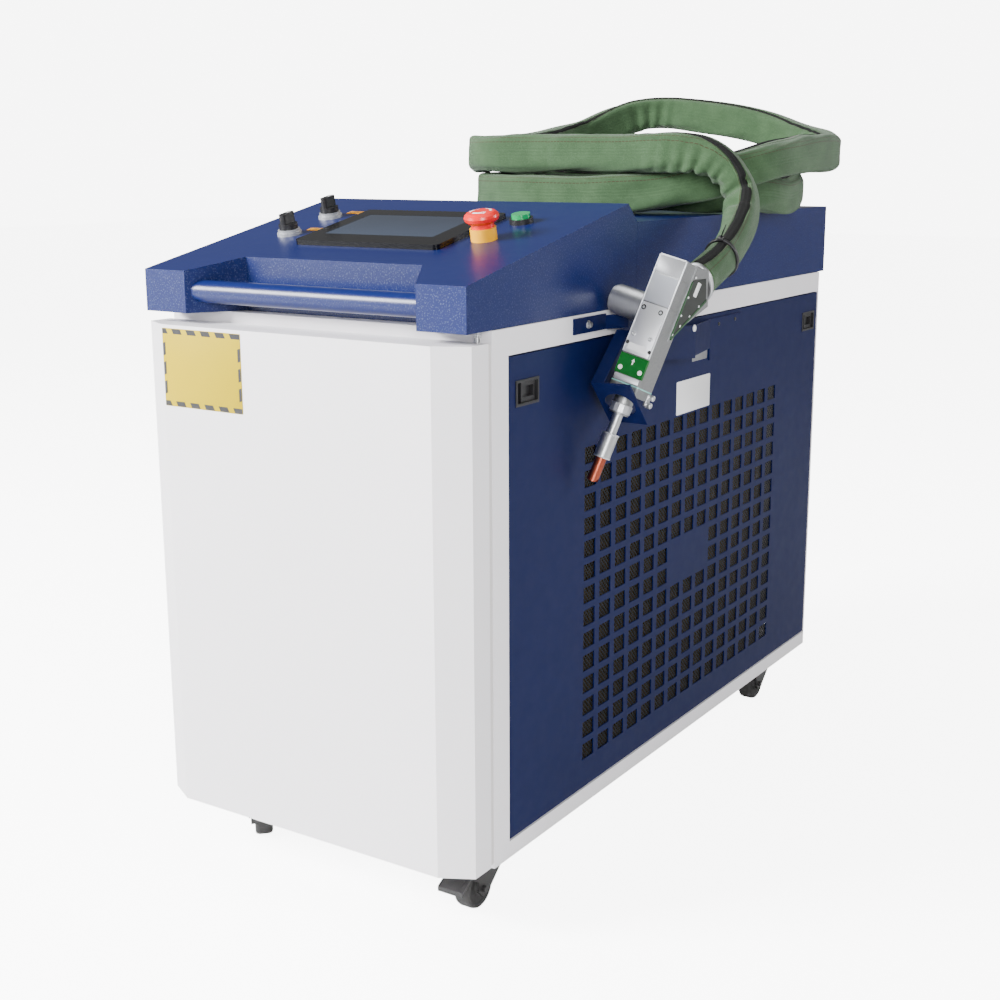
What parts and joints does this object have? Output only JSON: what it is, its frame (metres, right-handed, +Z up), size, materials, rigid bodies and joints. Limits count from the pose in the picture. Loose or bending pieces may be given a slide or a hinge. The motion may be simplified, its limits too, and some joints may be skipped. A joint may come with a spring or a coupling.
{
  "type": "handheld laser welding machine",
  "caption": "Wheeled cabinet with a sloped control console, a vented side, a coiled hose on top and a welding gun in its side holder.",
  "frame": {"origin": "on the floor below the middle of the whole machine, gun included and hose left out", "axes": "+Z up, -Y towards the front cover and the push handle, +X towards the side with the gun"},
  "size_m": [0.556, 0.999, 0.9451],
  "materials": {
    "powder_white": "fine textured powder coat",
    "powder_blue": "fine textured powder coat",
    "black_plastic": "fine grain",
    "black_steel": "satin",
    "steel": "brushed",
    "fins": "gold coated fins",
    "silver": "satin anodised",
    "screen": "gloss",
    "yellow_plastic": "gloss",
    "red_plastic": "gloss",
    "green_plastic": "gloss",
    "green_anodised": "satin anodised",
    "tank_plastic": "moulded",
    "hose_sleeve": "woven sleeve",
    "tyre": "moulded tread",
    "copper_tip": "turned",
    "dark_aluminium": "anodised"
  },
  "bodies": {
    "cabinet": {"base_pan": "powder_white", "frame_posts": "powder_white", "top_rails": "powder_white", "front_cover": "powder_white", "right_panel": "powder_blue", "rear_panel": "powder_blue", "console_shell": "powder_blue", "rear_cover": "powder_blue", "push_handle": "powder_blue", "hmi_bezel": "black_plastic", "hmi_screen": "screen", "selector_rings": "steel", "e_stop_collar": "yellow_plastic", "start_button_base": "black_plastic", "gun_holder": "powder_blue", "right_latches": "black_plastic", "hose_gland": "black_plastic", "condenser": "fins", "fan_shroud": "steel", "compressor": "black_steel", "water_tank": "tank_plastic", "coolant_pump": "dark_aluminium", "equipment_shelf": "powder_white", "laser_source": "dark_aluminium", "power_supply": "dark_aluminium", "caster_plates": "black_steel", "mains_switch": "black_plastic", "rear_fittings": "steel", "hose_drop": "hose_sleeve", "hose_coil": "hose_sleeve"},
    "left_side_panel": {"left_panel": "powder_blue", "left_latches": "black_plastic"},
    "latch_right_front": {"latch_slide_right_front": "black_plastic"},
    "latch_right_rear": {"latch_slide_right_rear": "black_plastic"},
    "latch_left_front": {"latch_slide_left_front": "black_plastic"},
    "latch_left_rear": {"latch_slide_left_rear": "black_plastic"},
    "selector_front": {"front_selector": "black_plastic"},
    "selector_rear": {"rear_selector": "black_plastic"},
    "stop_plunger": {"e_stop_stem": "red_plastic"},
    "stop_cap": {"e_stop_cap": "red_plastic"},
    "start_lens": {"start_button_lens": "green_plastic"},
    "rotor": {"fan_rotor": "black_plastic"},
    "cap": {"filler_cap": "black_plastic"},
    "lever": {"mains_lever": "black_plastic"},
    "fork_fl": {"fork_front_left": "black_steel"},
    "fork_fr": {"fork_front_right": "black_steel"},
    "fork_rl": {"fork_rear_left": "black_steel"},
    "fork_rr": {"fork_rear_right": "black_steel"},
    "wheel_fl": {"wheel_front_left": "tyre"},
    "wheel_fr": {"wheel_front_right": "tyre"},
    "wheel_rl": {"wheel_rear_left": "tyre"},
    "wheel_rr": {"wheel_rear_right": "tyre"},
    "pedal_left": {"brake_pedal_left": "black_steel"},
    "pedal_right": {"brake_pedal_right": "black_steel"},
    "gun": {"gun_body": "silver", "gun_motor": "dark_aluminium", "gun_handle": "silver"},
    "trigger": {"gun_trigger": "black_plastic"},
    "drawer": {"lens_drawer": "green_anodised"},
    "nozzle_tube": {"nozzle": "copper_tip"}
  },
  "joints": [
    {"name": "left_panel_off", "type": "slide", "parent": "cabinet", "child": "left_side_panel", "axis": [-1, 0, 0], "range_m": [0, 0.06]},
    {"name": "latch_slide_right_front", "type": "slide", "parent": "cabinet", "child": "latch_right_front", "axis": [0, -1, 0], "range_m": [0, 0.005], "stiffness_N_per_m": 400, "springref_m": -0.008},
    {"name": "latch_slide_right_rear", "type": "slide", "parent": "cabinet", "child": "latch_right_rear", "axis": [0, -1, 0], "range_m": [0, 0.005], "stiffness_N_per_m": 400, "springref_m": -0.008},
    {"name": "latch_slide_left_front", "type": "slide", "parent": "left_side_panel", "child": "latch_left_front", "axis": [0, -1, 0], "range_m": [0, 0.005], "stiffness_N_per_m": 400, "springref_m": -0.008},
    {"name": "latch_slide_left_rear", "type": "slide", "parent": "left_side_panel", "child": "latch_left_rear", "axis": [0, -1, 0], "range_m": [0, 0.005], "stiffness_N_per_m": 400, "springref_m": -0.008},
    {"name": "selector_front_turn", "type": "hinge", "parent": "cabinet", "child": "selector_front", "pos_m": [-0.19443, -0.32198, 0.7557], "axis": [0, -0.2079, 0.9781], "range_deg": [0, 90]},
    {"name": "selector_rear_turn", "type": "hinge", "parent": "cabinet", "child": "selector_rear", "pos_m": [-0.19743, -0.2408, 0.77295], "axis": [0, -0.2079, 0.9781], "range_deg": [0, 90]},
    {"name": "stop_press", "type": "slide", "parent": "cabinet", "child": "stop_plunger", "axis": [0, 0.2079, -0.9781], "range_m": [0, 0.004], "stiffness_N_per_m": 2000, "springref_m": -0.003},
    {"name": "stop_twist", "type": "hinge", "parent": "stop_plunger", "child": "stop_cap", "pos_m": [0.08557, -0.31611, 0.75694], "axis": [0, -0.2079, 0.9781], "range_deg": [-30, 0], "stiffness_Nm_per_rad": 0.05, "springref_deg": 5.73},
    {"name": "start_press", "type": "slide", "parent": "cabinet", "child": "start_lens", "axis": [0, 0.2079, -0.9781], "range_m": [0, 0.002], "stiffness_N_per_m": 1200, "springref_m": -0.002},
    {"name": "fan_spin", "type": "hinge", "parent": "cabinet", "child": "rotor", "pos_m": [0.06727, 0.0369, 0.3086], "axis": [1, 0, 0], "continuous": true},
    {"name": "filler_cap_turn", "type": "hinge", "parent": "cabinet", "child": "cap", "pos_m": [-0.17043, 0.4758, 0.572], "axis": [0, 1, 0], "continuous": true},
    {"name": "mains_lever_tilt", "type": "hinge", "parent": "cabinet", "child": "lever", "pos_m": [0.04957, 0.4758, 0.577], "axis": [1, 0, 0], "range_deg": [-30, 30]},
    {"name": "swivel_fl", "type": "hinge", "parent": "cabinet", "child": "fork_fl", "pos_m": [-0.22843, -0.3766, 0], "axis": [0, 0, 1], "continuous": true},
    {"name": "swivel_fr", "type": "hinge", "parent": "cabinet", "child": "fork_fr", "pos_m": [0.12757, -0.3766, 0], "axis": [0, 0, 1], "continuous": true},
    {"name": "swivel_rl", "type": "hinge", "parent": "cabinet", "child": "fork_rl", "pos_m": [-0.22843, 0.4116, 0], "axis": [0, 0, 1], "continuous": true},
    {"name": "swivel_rr", "type": "hinge", "parent": "cabinet", "child": "fork_rr", "pos_m": [0.12757, 0.4116, 0], "axis": [0, 0, 1], "continuous": true},
    {"name": "axle_fl", "type": "hinge", "parent": "fork_fl", "child": "wheel_fl", "pos_m": [-0.20468, -0.40036, 0.025], "axis": [0.7071, 0.7071, 0], "continuous": true},
    {"name": "axle_fr", "type": "hinge", "parent": "fork_fr", "child": "wheel_fr", "pos_m": [0.12757, -0.4102, 0.025], "axis": [1, 0, 0], "continuous": true},
    {"name": "axle_rl", "type": "hinge", "parent": "fork_rl", "child": "wheel_rl", "pos_m": [-0.22843, 0.378, 0.025], "axis": [1, 0, 0], "continuous": true},
    {"name": "axle_rr", "type": "hinge", "parent": "fork_rr", "child": "wheel_rr", "pos_m": [0.12757, 0.378, 0.025], "axis": [1, 0, 0], "continuous": true},
    {"name": "brake_left", "type": "hinge", "parent": "fork_fl", "child": "pedal_left", "pos_m": [-0.19096, -0.41408, 0.0503], "axis": [0.7071, 0.7071, 0], "range_deg": [-14, 0]},
    {"name": "brake_right", "type": "hinge", "parent": "fork_fr", "child": "pedal_right", "pos_m": [0.12757, -0.4296, 0.0503], "axis": [1, 0, 0], "range_deg": [-14, 0]},
    {"name": "gun_lift", "type": "slide", "parent": "cabinet", "child": "gun", "axis": [0.2313, 0.314, 0.9208], "range_m": [0, 0.05], "deforming": ["hose_drop"]},
    {"name": "drawer_pull", "type": "slide", "parent": "gun", "child": "drawer", "axis": [0.0765, -0.9494, 0.3045], "range_m": [0, 0.03]},
    {"name": "trigger_press", "type": "slide", "parent": "gun", "child": "trigger", "axis": [0.2307, -0.3217, 0.9183], "range_m": [0, 0.003], "stiffness_N_per_m": 600, "springref_m": -0.004},
    {"name": "nozzle_slide", "type": "slide", "parent": "gun", "child": "nozzle_tube", "axis": [0.2313, 0.314, 0.9208], "range_m": [-0.01, 0.015]}
  ]
}
